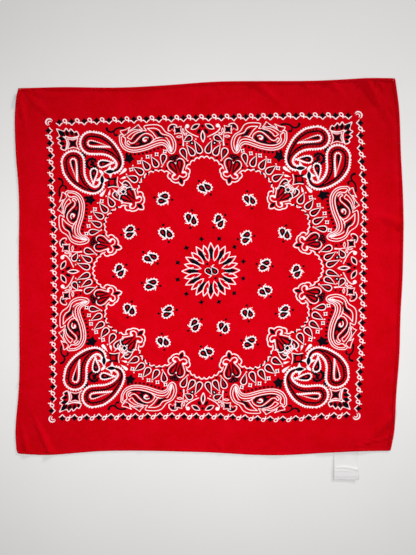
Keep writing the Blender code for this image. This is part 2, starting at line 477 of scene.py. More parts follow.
def corner_star():
    """The four-pointed star in the corner, on the diagonal, inside two white lines, of which the
    outer one runs on round the crown."""
    half = np.array(CROWN_EDGE)
    edge = np.concatenate((half, (CROWN_TIP,), -half[::-1, ::-1][:-1]))
    shapes = edged(smooth_line(edge, closed=True, steps=4), 0.63)
    shapes.append(stroke(STAR_EDGE, 1.2))
    shapes.append(lens((-181.6, 181.6), 3.6, 0.8, -45.0, WHITE))
    return shapes + stacked((-189.4, 189.4), 45.0, (11.6, 6.1, WHITE), (9.6, 5.0, RED), (8.2, 3.5, BLACK))


PAISLEY_SPINE = np.array((
    # x, y, half width of the white outline's middle
    (-162.6, 189.6, 16.1), (-151.5, 187.6, 15.3), (-140.6, 182.8, 11.9), (-131.6, 175.6, 8.4),
    (-125.0, 167.0, 6.0), (-122.3, 158.4, 4.5), (-125.2, 151.2, 3.6), (-131.0, 147.9, 3.1),
))

# The black drop inside it, with a stem into the tail.
PAISLEY_STEM = np.array((
    (-162.8, 189.7, 11.0), (-151.6, 188.4, 9.9), (-139.9, 183.2, 7.0), (-130.8, 175.2, 4.0),
    (-124.6, 166.8, 2.1), (-121.3, 158.4, 1.4), (-124.2, 151.2, 1.4), (-130.4, 148.1, 1.2),
    (-136.0, 147.5, 1.0),
))


def paisley():
    """The large paisley, whose tail curls round and ends in a spade."""
    shapes = [feathered(swept(PAISLEY_SPINE + (0, 0, 0.3)), 2.0, 3.6)]
    shapes.append((swept(PAISLEY_SPINE - (0, 0, 1.2)), RED))
    # The black drop, its red inside and the beads along it.
    body = PAISLEY_STEM[:5]
    shapes += [oval(at, 1.25, 1.25, count=7) for at in resampled(swept(body + (0, 0, 1.4)), 4.3)[:-1]]
    shapes.append((swept(PAISLEY_STEM), BLACK))
    core = body - (0, 0, 2.8)
    core[-1, 2] = 0.2
    shapes.append((swept(core), RED))
    # The small feathered drop inside, with its black seed.
    shapes.append(feathered(drop((-134.6, 181.0), (-167.6, 190.0), 8.2, -0.03)[0], 1.3, 3.0))
    shapes.append(drop((-139.0, 183.6), (-166.6, 189.9), 6.6, -0.03, ink=RED))
    shapes.append(drop((-149.0, 187.8), (-165.2, 189.8), 4.4, ink=BLACK))
    return shapes


def spade():
    """The black spade that ends the paisley's tail, in its white outline."""
    outline = blob((-145.6, 147.9), (-140.4, 150.6), (-136.2, 156.4), (-134.6, 152.0), (-131.2, 150.4),
                   (-130.6, 145.4), (-133.6, 143.6), (-135.7, 138.4), (-138.4, 143.8), ink=WHITE)
    return [outline, lens((-136.6, 147.5), 6.6, 2.7),
            stroke(((-133.6, 147.5), (-129.0, 148.4)), 2.4, BLACK)]


def hollow_drop():
    """The small feathered drop in the hollow of the paisley's curl."""
    return [
        feathered(drop((-129.6, 160.8), (-153.4, 158.6), 10.0, 0.05)[0], 1.2, 3.0),
        drop((-134.2, 160.6), (-152.2, 158.6), 7.9, 0.04, ink=RED),
        drop((-136.0, 161.6), (-151.6, 158.6), 7.2, 0.03, ink=BLACK),
        oval((-146.2, 159.0), 2.0, 1.0, 15.0, RED),
    ]


def rays():
    """White drops that radiate from the corner group towards the ring."""
    return [
        drop((-123.3, 141.0), (-113.2, 150.4), 4.4, 0.08),
        drop((-122.6, 136.6), (-113.9, 138.4), 3.0, -0.05),
        drop((-124.2, 133.4), (-117.4, 127.4), 2.0, 0.05),
    ]


def vine():
    """A short black vine with knobs, between the corner group and the winged paisley."""
    return strokes(
        ((3.8, 3.0, 2.8, 2.8, 2.6, 3.2), (-139.2, 209.6), (-137.8, 206.0), (-133.6, 204.0), (-129.2, 205.6),
         (-126.0, 208.4), (-120.6, 209.8), (-114.6, 209.2)),
        ((2.2, 2.4, 3.6), (-129.4, 205.4), (-129.0, 202.0), (-127.6, 199.6), (-125.2, 199.4)),
        ink=BLACK,
    )


def diagonal_motifs():
    """What stands on the diagonal itself, drawn whole, once for each corner."""
    shapes = corner_star()
    shapes.append(oval((-174.2, 172.2), 5.2, 2.5, -45.0))
    bud = np.array((-162.4, 159.8))
    shapes.append(stroke(bud + around(6.6, range(25, 330, 30)), (3.0, 3.6, 3.8, 3.6, 3.0), BLACK))
    shapes += [oval(at, 1.4, 1.4, count=7) for at in bud + around(8.0, range(50, 320, 33))]
    shapes.append(oval((-162.2, 158.8), 2.9, 2.2, 30.0))
    stalk = ((-162.8, 162.8), (-159.9, 161.4), (-160.4, 158.0), (-157.0, 154.8), (-153.6, 151.4))
    shapes.append(stroke(stalk, (3.4, 3.2, 3.6, 4.2, 2.4), BLACK))
    shapes.append(lens((-148.6, 147.4), 4.8, 1.9, -45.0, WHITE))
    shapes += strokes((1.2, (-125.4, 139.4), (-126.4, 132.4), (-124.8, 124.8)),
                      (1.2, (-139.4, 125.4), (-132.4, 126.4), (-124.8, 124.8)))
    return shapes + [star((-134.0, 132.6), 4, 9.4, 5.4, 45.0),
                     star((-134.0, 132.4), 4, 4.4, 3.1, 45.0, RED)]


def winged_paisley():
    """The paisley with a wing and a trailing tail, on the long stretch of each side."""
    # Its outline, and lines that run from the head, under the eye and into the tail.
    shapes = strokes(
        (1.4, (-121.6, 197.4), (-120.6, 186.8), (-114.6, 178.0), (-102.0, 173.7), (-84.0, 176.4),
         (-63.6, 183.2), (-55.2, 180.8), (-51.8, 173.4), (-46.8, 169.9), (-41.9, 173.8), (-40.2, 185.2),
         (-44.9, 195.8), (-54.4, 201.8), (-60.6, 210.0), (-69.6, 212.9), (-84.6, 211.4), (-82.2, 204.6)),
        (1.4, (-118.9, 196.6), (-118.2, 187.8), (-112.8, 180.4), (-101.6, 176.5), (-85.0, 179.0),
         (-64.8, 186.0), (-54.6, 184.0), (-49.4, 174.0)),
        (1.4, (-112.6, 191.0), (-113.6, 187.4), (-110.8, 183.0), (-101.0, 180.2), (-86.0, 182.6),
         (-65.2, 189.8), (-54.0, 188.0), (-48.2, 175.6)),
        (1.3, (-76.4, 186.8), (-69.6, 192.2), (-61.6, 194.2), (-53.0, 192.6), (-46.8, 178.4)),
    )
    shapes.append(drop((-49.8, 190.4), (-47.2, 171.8), 3.0))
    # The wing: a second line inside its edge, a line below it and a black leaf between the two.
    shapes += strokes(
        (1.4, (-80.4, 207.7), (-70.2, 207.7), (-64.0, 204.8), (-59.8, 199.2), (-50.0, 196.2),
         (-45.4, 190.2), (-43.7, 182.4), (-45.4, 175.2)),
        (1.4, (-80.4, 207.7), (-73.6, 201.8), (-68.6, 195.0), (-66.0, 192.6)),
    )
    shapes.append(blob((-71.4, 204.4), (-64.6, 202.5), (-60.4, 197.6), (-51.6, 193.9), (-56.8, 193.8),
                       (-63.9, 194.8), (-67.8, 199.6)))
    # The eye: a white line that hooks at the head and sweeps over a black eye with a white spiral.
    shapes.append(blob((-108.6, 182.6), (-98.6, 186.4), (-92.0, 192.6), (-86.4, 197.2), (-79.4, 197.0),
                       (-75.0, 191.8), (-78.2, 187.0), (-87.6, 183.6), (-98.0, 181.8), steps=4))
    shapes.append(lens((-95.8, 185.4), 3.8, 1.3, 20.0, RED))
    shapes.append(oval((-84.2, 191.0), 5.2, 3.4, 32.0, RED, 12))
    over = ((-71.6, 189.8), (-74.0, 196.4), (-80.8, 200.4), (-87.6, 199.2), (-94.2, 193.6), (-100.4, 187.6),
            (-105.8, 187.4), (-108.8, 190.6), (-111.0, 187.6), (-107.4, 184.4))
    shapes.append(stroke(over, (1.3, 1.3, 1.3, 1.3, 1.4, 1.5), steps=5))
    spiral = ((-79.6, 194.0), (-83.8, 195.0), (-87.4, 192.4), (-85.4, 189.8), (-83.2, 190.4))
    shapes.append(stroke(spiral, (1.2, 1.6, 2.4, 3.4, 2.6), steps=4))
    # The black crescent over it, and a red petal with a white edge.
    crescent = ((-104.0, 189.2), (-99.8, 193.6), (-94.4, 198.6), (-89.0, 201.2), (-82.6, 202.2))
    shapes.append(stroke(crescent, (2.2, 3.2, 3.7, 3.0, 1.4), BLACK))
    shapes += strokes(
        (1.2, (-110.2, 195.4), (-105.2, 192.9), (-101.4, 197.4), (-96.2, 201.4), (-88.4, 203.6)),
        (1.2, (-110.2, 195.4), (-106.4, 199.2), (-100.2, 203.0), (-92.6, 205.0), (-82.2, 204.6)),
        (1.2, (-117.6, 197.8), (-112.8, 199.2), (-107.6, 203.0), (-99.8, 206.4), (-89.2, 206.6)),
        ((1.2, 1.8, 1.2), (-116.8, 197.4), (-113.0, 194.4), (-113.2, 188.4)),
        (1.3, (-121.6, 197.4), (-119.6, 200.2), (-115.6, 200.0)),
        # Two thorny leaves on its back.
        (1.2, (-119.6, 205.4), (-112.5, 207.0), (-105.4, 210.2)),
        (1.2, (-105.4, 210.2), (-107.7, 206.8), (-108.4, 203.4)),
        (1.2, (-107.6, 204.9), (-100.3, 208.55), (-93.0, 213.8)),
        (1.2, (-93.0, 213.8), (-91.1, 210.2), (-87.6, 206.6)),
        (1.2, (-119.6, 205.4), (-119.0, 203.0), (-116.8, 200.6)),
    )
    shapes.append(star((-111.6, 202.6), 3, 3.6, 1.2, 35.0))
    shapes.append(star((-96.0, 208.8), 3, 4.2, 1.3, 80.0))
    return shapes


def dot_row():
    """The row of black dots that follows the winged paisley's belly."""
    row = smooth_line(((-111.8, 171.8), (-105.4, 170.6), (-93.3, 170.8), (-81.8, 172.9), (-71.0, 176.6),
                       (-60.6, 179.8)), steps=12)
    return [oval(at, 1.9, 1.9, count=8) for at in spread_along(row, 10, True)]


def splotch():
    """A ragged black star under the winged paisley's head."""
    return [star((-108.6, 164.8), 5, 8.6, 5.2, 62.0), oval((-111.0, 171.0), 1.6, 2.6, -10.0, count=8)]


def side_drops():
    """The drops with black bands that stand round the ring, from the side's middle to the diagonal."""
    rows = (
        # tail x, tail y, head x, head y, width, bend
        (-24.0, 159.2, -32.6, 177.4, 10.6, 0.06),
        (-23.4, 184.4, -14.8, 165.8, 10.0, -0.12),
        (-10.4, 190.0, -5.0, 168.6, 10.2, -0.14),
        (-61.9, 151.2, -57.6, 170.2, 10.0, -0.06),
        (-76.4, 168.6, -68.2, 150.4, 10.2, -0.08),
        (-90.2, 164.4, -80.4, 147.0, 10.2, -0.10),
        (-103.6, 154.4, -88.6, 141.0, 10.4, -0.12),
        (-112.8, 142.2, -97.0, 131.6, 10.4, -0.14),
        (-101.0, 120.2, -118.6, 131.6, 10.2, 0.12),
    )
    shapes = []
    for tail_x, tail_y, head_x, head_y, width, bend in rows:
        shapes += nested_drop((tail_x, tail_y), (head_x, head_y), width, bend)
        shapes.append(oval((tail_x, tail_y), 1.0, 1.0, 0.0, WHITE, 8))
    return shapes


def small_marks():
    """Black dots inside the ring of drops and white rhombs with a black dot outside it."""
    dots = ((-9.0, 167.0), (-18.4, 162.4), (-25.4, 155.8), (-54.8, 148.8), (-64.4, 148.2), (-74.0, 146.4),
            (-82.6, 141.6), (-89.6, 135.4), (-95.4, 127.4))
    shapes = [oval(at, 1.8, 1.8, count=8) for at in dots]
    for x, y in ((-56.6, 173.4), (-68.6, 169.6), (-81.8, 166.4), (-94.4, 158.8), (-106.0, 148.8)):
        lean = math.degrees(math.atan2(y, x))
        shapes.append(star((x, y), 4, 3.9, 2.2, lean + 20, WHITE))
        shapes.append(oval((x, y), 1.5, 1.3, lean, count=8))
    return shapes


def side_flower():
    """Half of the flower at the middle of each side, its curl, its drop and what is beside it."""
    shapes = [lens((-10.3, 208.1), 7.8, 3.7, 29.0, WHITE)]
    shapes += [lens((-10.2, 208.1), 6.2, 2.7, 29.0, RED), lens((-10.2, 208.1), 5.6, 2.3, 29.0)]
    shapes.append(lens((-5.2, 201.2), 4.8, 2.3, 60.0))
    shapes += strokes(((2.6, 1.9, 1.7, 1.5), (-22.2, 209.2), (-24.6, 207.4), (-23.4, 203.2), (-17.6, 198.4),
                       (-6.8, 193.2)))
    shapes.append(oval((-21.8, 209.3), 2.9, 2.8, 0.0, WHITE, 12))
    # The drop that leans out, with its stem and the three small leaves of its stalk.
    shapes += nested_drop((-28.8, 185.0), (-15.8, 194.8), 10.0, 0.14)
    shapes += strokes(((2.8, 1.6, 1.2, 1.2), (-29.2, 181.4), (-28.9, 186.6), (-29.6, 192.8),
                       (-29.6, 197.4)))
    for at, turn, size in (((-28.4, 202.2), 93.0, 4.4), ((-34.6, 194.2), 180.0, 4.6),
                           ((-25.0, 197.8), 20.0, 3.2)):
        shapes += [lens(at, size, 1.8, turn, WHITE), lens(at, size - 1.8, 0.9, turn, RED)]
    shapes += moved(star_and_crescent(), (-36.0, 203.8))
    shapes.append(oval((-16.4, 184.4), 4.0, 2.9, -52.0))
    shapes.append(oval((-16.2, 184.2), 1.2, 0.9, -52.0, WHITE, 8))
    return shapes + [oval(at, 2.3, 1.5, count=8) for at in ((-36.2, 189.4), (-33.8, 182.8))]


def star_and_crescent():
    """A square star inside a white line, with a black crescent behind its outer shoulder."""
    hood, _ = blob((-14.8, -0.4), (-14.4, 4.8), (-9.6, 9.3), (-3.4, 8.8), (-0.6, 6.2), (-4.6, 3.6),
                   (-5.6, -1.8), (-8.6, 1.4), (-11.6, -1.0))
    middle = hood.mean(axis=0)
    shapes = [(hood, WHITE), (middle + (hood - middle) * 0.80, RED)]
    shapes.append(blob((-12.2, 1.2), (-11.2, 5.6), (-7.4, 7.4), (-2.6, 6.8), (-5.8, 2.2), (-8.8, 3.4)))
    return shapes + stacked((0.0, 0.0), 47.0, (8.4, 4.9, WHITE), (6.8, 3.9, RED), (5.4, 3.0, BLACK))


# --- Motifs of the ring and the middle -----------------------------------------------------


LOBE_DEGREES = 10.6  # on each side of the lobe's middle, seen from the print's middle
LOBE_STEPS = 40
SCALLOP_STEPS = 5


def ring_line():
    """The scalloped white line of one of the ring's twelve lobes and of the half ogees on both
    sides of it."""
    ogee = ((0.0, 127.3), (4.2, 133.6), (10.2, 135.2), (13.7, 140.7), (16.6, 146.3), (11.6, 150.6))
    half = [ogee[:1]] + [bow_between(a, b, 0.14)[1:] for a, b in zip(ogee, ogee[1:])]
    first = placed(np.concatenate(half), turn=15.0)
    lobe = []
    for k in range(LOBE_STEPS + 1):
        a = LOBE_DEGREES * (1 - 2 * k / LOBE_STEPS)
        radius = 162.4 - 0.125 * a * a + 2.7 * abs(math.sin(math.pi * k / SCALLOP_STEPS)) ** 0.7
        lobe.append((-radius * math.sin(math.radians(a)), radius * math.cos(math.radians(a))))
    last = (first * (-1, 1))[::-1]
    return np.concatenate((first[:-1], lobe, last[1:-1]))


def bow_between(a, b, bow, steps=4):
    """Points from a to b along a shallow arc that bows to the right of the way there."""
    a, b = np.asarray(a, float), np.asarray(b, float)
    t = np.linspace(0, 1, steps + 1)[:, None]
    right = np.array((b[1] - a[1], a[0] - b[0]))
    return a + (b - a) * t + right * bow * 4 * t * (1 - t)


def ring():
    """The whole scalloped ring: a white line with red on both sides."""
    return edged(np.concatenate([placed(ring_line(), turn=-30.0 * k) for k in range(12)]), 0.8)


def fleur():
    """The heart of two drops over curled leaves that fills a cusp, on the +Y axis."""
    heart = ((0.0, 160.6), (5.9, 166.4), (11.6, 163.2), (12.0, 156.6), (8.0, 150.0), (5.3, 145.6))
    curl = ((6.0, 145.6), (8.6, 145.2), (10.6, 142.4), (8.6, 139.1), (4.4, 138.6), (1.4, 140.8),
            (0.0, 142.4))
    shapes = []
    for side in (-1, 1):
        shapes.append(stroke(np.array(heart) * (side, 1), 1.4))
        shapes.append(stroke(np.array(curl) * (side, 1), (3.8, 3.2, 1.8, 1.4, 1.4, 1.4)))
        for inset, ink in ((0.0, BLACK), (2.9, RED)):
            shapes.append(drop((side * 1.6, 143.6), (side * 6.8, 165.6), 9.4, 0.0, inset, ink))
    shapes.append(lens((0.0, 134.6), 4.8, 2.5, 90.0))
    return shapes


def thicket():
    """The dark ragged patch over a cusp: black with a few red gaps."""
    shapes = [(placed(star((0.0, 0.0), 13, 1.16, 0.86)[0] * (9.4, 3.7), (0.0, 170.0)), BLACK)]
    for k in (-1.5, -0.6, 0.2, 1.0, 1.7):
        shapes.append(oval((4.6 * k, 170.2 + 1.1 * math.cos(3 * k)), 1.0, 0.55, 40.0 * k, RED, 6))
    shapes.append(lens((0.0, 165.6), 3.0, 1.6, 90.0))
    return shapes


def rosette():
    """The rosette over the cusp on each diagonal: scalloped white arcs round a small square."""
    shapes = []
    for k in (-1, 0, 1):
        middle = (5.2 * k, 168.4 + 1.4 * math.cos(k))
        for radius in (4.8, 2.7):
            shapes.append(stroke(middle + around(radius, range(-10, 200, 38)), 1.1, steps=3))
    return shapes + stacked((0.0, 166.6), 45.0, (4.6, 3.3, WHITE), (3.2, 2.3, BLACK))


def twin_drops(at, turn, tooth=1.9):
    """Two black drops, head to tail, in white outlines that meet between them, with a dot on each
    side. The outlines are feathered unless the tooth is 0."""
    outlines, inside_them = [], []
    for side in (-1, 1):
        outline = drop((side * -7.8, side * 3.0), (side * 7.7, side * 4.6), 9.6)[0]
        outlines.append(feathered(outline, tooth, 3.4) if tooth else (outline, WHITE))
        hook = side * np.array(((-4.8, 4.0), (-6.8, 5.4), (-7.2, 7.8)))
        outlines.append(stroke(hook, (2.0, 1.6, 1.0), steps=3))
        inside_them.append(drop((side * -6.4, side * 2.7), (side * 7.0, side * 4.5), 8.1, ink=BLACK))
        inside_them.append(oval((side * 2.6, side * 4.0), 2.6, 0.9, 8.0, RED, 8))
        inside_them.append(oval((side * 12.6, 0.0), 1.9, 1.9, count=9))
    return moved(outlines + inside_them, at, turn)


def flower():
    """The flower in the middle: twelve open petals with a black leaf in each, twelve closed ones."""
    shapes = []
    opened = [stroke(((side * 5.2, 25.6), (side * 4.5, 30.6), (side * 2.5, 36.4), (0.0, 41.4)), 1.5)
              for side in (-1, 1)]
    opened.append(lens((0.0, 26.8), 9.6, 3.2, 90.0))
    closed = [lens((0.0, 27.4), 12.6, 4.5, 90.0, WHITE), lens((0.0, 27.1), 10.4, 3.2, 90.0, RED)]
    for k in range(12):
        shapes += moved(opened, turn=30.0 * k) + moved(closed, turn=30.0 * k + 15.0)
        shapes.append(star(placed([(0.0, 48.6)], turn=30.0 * k + 15.0)[0], 4, 4.4, 2.4, 20.0 * k))
    middle = twin_drops((0.0, 0.0), 118.0, tooth=0)
    return shapes + [(points * (1.0, 0.96), ink) for points, ink in middle]


TWIN_DROPS = (
    # x, y, turn of the pair
    (-1.7, 119.4, 128.0), (62.0, 101.7, 101.0), (110.8, 52.0, 78.0), (127.4, -4.9, 39.0),
    (110.8, -65.7, 12.0), (63.0, -110.1, -12.0), (1.0, -125.4, 133.0), (-62.2, -108.3, 101.0),
    (-111.2, -59.7, 78.0), (-125.8, -0.5, 44.0), (-110.7, 57.1, 18.0), (-61.7, 104.8, -8.0),
    (-24.9, 75.3, 80.0), (15.0, 71.7, 43.0), (52.5, 47.1, 8.0), (79.4, 5.5, -11.0),
    (80.8, -33.3, 134.0), (56.6, -66.3, 101.0), (22.4, -86.9, 77.0), (-18.9, -82.6, 45.0),
    (-58.6, -62.0, 13.0), (-82.9, -20.6, -9.0), (-83.7, 19.1, 139.0), (-61.0, 54.8, 104.0),
)


# --- Layout -------------------------------------------------------------------------------

PRINT_HALF = 222.0  # from the print's middle to the middle of its chain border
LINKS = 24  # diamonds along each side of the chain


def chain_side(ring_along, ring_out, reach=0.935, flare=0.0):
    """One side of the border, drawn as the top side: diamonds with a chevron, and looped drops
    between them, whose rings lean along and out of the border as given. The side reaches a share
    of the way to the corners, and flares outwards there."""
    ends = reach * PRINT_HALF
    pitch = 2 * ends / (LINKS - 1)
    tilt = math.degrees(math.atan2(ring_out, ring_along))
    chevron = ((-4.6, -1.8), (-2.6, -3.2), (-0.2, -5.6), (0.2, -5.6), (2.6, -3.2), (4.6, -1.8))
    diamond = [star((0.0, 0.0), 4, 4.9, 2.8), stroke(chevron, (1.3, 1.5, 1.8, 1.5, 1.3), steps=3)]
    knot = [
        oval((1.2, 0.0), 3.6, 3.0, 0.0, WHITE, 16),
        stroke(((-1.2, 1.0), (-3.2, -0.2), (-5.0, -1.4)), 1.6, steps=3),
        stroke(((-1.2, -1.0), (-2.6, 0.6), (-3.6, 1.8)), 1.5, steps=3),
        oval((1.4, 0.0), 2.0, 1.5, 0.0, RED, 12),
    ]
    shapes = []
    for k in range(LINKS):
        x = -ends + k * pitch
        y = PRINT_HALF + flare * (x / ends) ** 6
        shapes += moved(diamond, (x, y))
        if k < LINKS - 1:
            shapes += moved(knot, (x + pitch / 2, y), tilt)
    return shapes


def corner_crescents():
    """Two crescents, one inside the other, that open towards the middle, in the top left corner."""
    shapes = []
    for radius, shift, width in ((5.0, 0.0, 2.3), (2.6, 0.9, 1.6)):
        arc = around(radius, np.linspace(20, 250, 9)) + (shift - PRINT_HALF, PRINT_HALF - shift)
        shapes.append(stroke(arc, (0.5, width, width, width, 0.5)))
    return shapes


def turned(shapes, matrix):
    return [(points @ np.array(matrix, float).T, ink) for points, ink in shapes]


def print_shapes():
    """Every shape of the print, in painting order."""
    shapes = ring()
    octant = crown() + paisley() + spade() + hollow_drop() + rays() + vine() + winged_paisley() + dot_row()
    octant += splotch() + side_drops() + small_marks() + side_flower()
    flips = [(flip_x, flip_y) for flip_x in (1, -1) for flip_y in (1, -1)]
    for flip_x, flip_y in flips:
        shapes += turned(diagonal_motifs() + corner_crescents(), ((flip_x, 0), (0, flip_y)))
    for flip_x, flip_y in flips:
        shapes += turned(octant, ((flip_x, 0), (0, flip_y)))
        shapes += turned(octant, ((0, flip_x), (flip_y, 0)))
    for k in range(12):
        shapes += moved(fleur() + (rosette() if k % 3 == 1 else thicket()), turn=30.0 * k + 15.0)
    bud = [star((0.0, 208.9), 4, 2.6, 1.8), lens((0.0, 193.8), 9.2, 3.4, 90.0, WHITE)]
    bud += [lens((0.0, 193.8), 6.8, 1.9, 90.0, RED), lens((0.0, 193.8), 6.0, 1.6, 90.0)]
    for k in range(4):
        shapes += moved(bud, turn=90.0 * k)
    # The chain's loops lean their own way on each side.
    shapes += chain_side(-1, 1)
    shapes += turned(chain_side(1, 1), ((-1, 0), (0, -1)))
    shapes += turned(chain_side(-1, -1, 0.949, 2.2), ((0, 1), (-1, 0)))
    shapes += turned(chain_side(-1, -1, 0.945, 2.2), ((0, -1), (1, 0)))
    for x, y, turn in TWIN_DROPS:
        shapes += twin_drops((x, y), turn)
    return shapes + flower()


# --- From the print's own square to the cloth as it lies -----------------------------------

PRINT_CORNERS = ((-233.2, 228.8), (218.1, 239.3), (215.1, -200.0), (-228.5, -204.0))
# How far the middles of the print's sides are pulled, in x and y.
PRINT_BOWS = {"left": (5.6, -2.5), "right": (10.7, -2.1), "top": (-0.6, 2.3), "bottom": (-1.1, 1.8)}
# Places where the cloth has slipped: (x, y, reach, how far in x, in y).
PRINT_SLIPS = (
    (0, 0, 330, -4.0, 0.0),
    (0, 0, 150, 5.9, -3.7),
    (0, 10, 120, 1.6, -0.6),
    (95, -175, 95, -2.6, -6.0),
    (20, -195, 90, -1.2, -1.4),
    (120, 105, 85, -0.6, -3.8),
    (110, 205, 80, -2.8, 0.4),
    (200, 95, 75, 2.4, -1.4),
    (165, 20, 80, 0.4, -2.4),
    (165, -105, 70, -0.4, -1.6),
    (-165, -85, 85, -1.2, 2.4),
    (-205, -130, 65, -1.8, 1.4),
    (-150, 105, 80, -1.0, -2.6),
    (-195, 125, 70, -2.2, -0.6),
    (130, -205, 85, 0.0, -3.2),
    (175, -130, 55, 2.4, 0.0),
    (75, 165, 80, -1.4, -1.8),
    (205, 125, 60, 1.2, -2.2),
    (-5, 200, 55, -1.2, 0.2),
)


def lie(points):
    """Takes points from the print's square to the cloth, in metres."""
    x, y = np.asarray(points, float).T
    a, b = ((1 + x / PRINT_HALF) / 2)[:, None], ((1 + y / PRINT_HALF) / 2)[:, None]
    top_left, top_right, bottom_right, bottom_left = np.array(PRINT_CORNERS)
    place = b * ((1 - a) * top_left + a * top_right) + (1 - b) * ((1 - a) * bottom_left + a * bottom_right)
    place = place + ((1 - a) * PRINT_BOWS["left"] + a * PRINT_BOWS["right"]) * 4 * b * (1 - b)
    place = place + (b * PRINT_BOWS["top"] + (1 - b) * PRINT_BOWS["bottom"]) * 4 * a * (1 - a)
    for slip_x, slip_y, reach, by_x, by_y in PRINT_SLIPS:
        near = np.clip(1 - ((x - slip_x) ** 2 + (y - slip_y) ** 2) / reach**2, 0, 1) ** 2
        place = place + near[:, None] * (by_x, by_y)
    return place / 1000


def simplified(points, tolerance=0.05):
    """A closed outline without the points that hardly bend it."""
    while len(points) > 8:
        before, after = np.roll(points, 1, axis=0), np.roll(points, -1, axis=0)
        chord = after - before
        away = np.abs(chord[:, 0] * (points - before)[:, 1] - chord[:, 1] * (points - before)[:, 0])
        away /= np.maximum(np.hypot(chord[:, 0], chord[:, 1]), 1e-9)
        least = (away < tolerance) & (away <= np.roll(away, 1)) & (away < np.roll(away, -1))
        if not least.any():
            break
        points = points[~least]
    return points


def drawn_in(points):
    """Points of raised cloth, drawn in towards the middle, as a fold takes up some of the cloth."""
    points = np.array(points, float)
    points[..., :2] *= 1 - points[..., 2:] * FOLD_TAKES_UP
    return points


# --- Building meshes ----------------------------------------------------------------------

CLOTH_THICKNESS = 0.0005
FOLD_TAKES_UP = 1.7  # share of the distance from the middle, for each metre of height
GRID_PITCH = 0.0042  # of the points that carry the cloth's folds
UNDERSIDE_PITCH = 0.0100
CLOTH_INSET = 0.0034  # the panel's rim, under the hem's stitch line
RIM_POINTS = 132  # along each side
MERGE_MM = 0.004  # points closer than this become one
TOP_OF_HEM = 0.0019


def inside(points, ring):
    """Which points lie inside a ring."""
    x, y = points.T
    odd = np.zeros(len(points), bool)
    for (x0, y0), (x1, y1) in zip(ring, np.roll(ring, -1, axis=0)):
        if y0 != y1:
            odd ^= ((y0 > y) != (y1 > y)) & (x < (x1 - x0) * (y - y0) / (y1 - y0) + x0)
    return odd


def grid_inside(pitch):
    """A staggered grid of points inside the cloth's rim, and a little way off it."""
    ring = outline(CLOTH_INSET + 0.4 * pitch, RIM_POINTS)
    (x0, y0), (x1, y1) = ring.min(0), ring.max(0)
    rows = enumerate(np.arange(y0, y1, pitch * 0.866))
    grid = np.array([(x, y) for k, y in rows for x in np.arange(x0 + pitch / 2 * (k % 2), x1, pitch)])
    return grid[inside(grid, ring)]


def cut_plan(rings, loose):
    """Triangles of the first ring's plan, cut along every other ring. Returns the points, the
    triangles, the last ring that covers each, and which points the first ring's own are."""
    edges, start = [], 0
    for ring in rings:
        numbers = list(range(start, start + len(ring)))
        edges += zip(numbers, numbers[1:] + numbers[:1])
        start += len(ring)
    in_mm = [Vector(point) for point in np.concatenate([*rings, loose]) * 1000]
    made, _, triangles, *_ = delaunay_2d_cdt(in_mm, edges, [], 0, MERGE_MM, False)
    made, triangles = np.array(made) / 1000, np.array(triangles)
    middle = made[triangles].mean(axis=1)
    order = np.argsort(middle[:, 0])
    sorted_x = middle[order, 0]
    cover = np.full(len(triangles), -1)
    for k, ring in enumerate(rings):
        (x0, y0), (x1, y1) = ring.min(0), ring.max(0)
        near = order[np.searchsorted(sorted_x, x0) : np.searchsorted(sorted_x, x1)]
        near = near[(middle[near, 1] > y0) & (middle[near, 1] < y1)]
        cover[near[inside(middle[near], ring)]] = k
    kept = (cover >= 0) & inside(middle, rings[0])
    rim = [int(np.argmin(np.abs(made - point).sum(axis=1))) for point in rings[0]]
    return made, triangles[kept], cover[kept], rim


def add_object(name, data):
    """A new object of the scene."""
    made = bpy.data.objects.new(name, data)
    bpy.context.scene.collection.objects.link(made)
    return made


def add_mesh(name, points, faces, materials, slots=None):
    """A smooth-shaded piece. slots says which of the materials each face has."""
    mesh = bpy.data.meshes.new(name)
    mesh.from_pydata([tuple(p) for p in points], [], [tuple(f) for f in faces])
    for material in materials:
        mesh.materials.append(material)
    if slots is not None:
        mesh.polygons.foreach_set("material_index", slots)
    mesh.update()
    mesh.shade_smooth()
    return add_object(name, mesh)


def slopes(x, y, step=0.0004):
    """The unit normals of the cloth's upper face."""
    dx = (lift(x + step, y) - lift(x - step, y)) / (2 * step)
    dy = (lift(x, y + step) - lift(x, y - step)) / (2 * step)
    normal = np.column_stack((-dx, -dy, np.ones_like(dx)))
    return normal / np.linalg.norm(normal, axis=1)[:, None]


def add_cloth(inks):
    """The printed panel: a thin closed shell whose upper face is cut along the print, so each
    triangle of it has one ink."""
    rim = outline(CLOTH_INSET, RIM_POINTS)
    shapes = print_shapes()
    rings = [rim] + [lie(simplified(points)) for points, _ in shapes]
    ink_of = [RED] + [ink for _, ink in shapes]
    top, top_faces, cover, top_rim = cut_plan(rings, grid_inside(GRID_PITCH))
    under, under_faces, _, under_rim = cut_plan([rim], grid_inside(UNDERSIDE_PITCH))
    plan = np.concatenate((top, under))
    z = lift(*plan.T)
    z[: len(top)] += CLOTH_THICKNESS
    under_rim = [k + len(top) for k in under_rim]
    faces = top_faces.tolist() + (len(top) + under_faces[:, ::-1]).tolist()
    faces += zip(top_rim, top_rim[1:] + top_rim[:1], under_rim[1:] + under_rim[:1], under_rim)
    slots = [ink_of[k] for k in cover] + [RED] * (len(faces) - len(top_faces))
    cloth = add_mesh("printed_cloth", drawn_in(np.column_stack((plan, z))), faces, inks, slots)
    shape_normals(cloth.data, len(top_faces))
    lay_flat_map(cloth.data)
    return cloth


def read(items, key, columns):
    """One property of many parts of a mesh, a row for each."""
    values = np.zeros(len(items) * columns)
    items.foreach_get(key, values)
    return values.reshape(-1, columns)


def corner_places(mesh):
    """Where each corner of each face is."""
    corners = np.zeros(len(mesh.loops), int)
    mesh.loops.foreach_get("vertex_index", corners)
    return read(mesh.vertices, "co", 3)[corners]


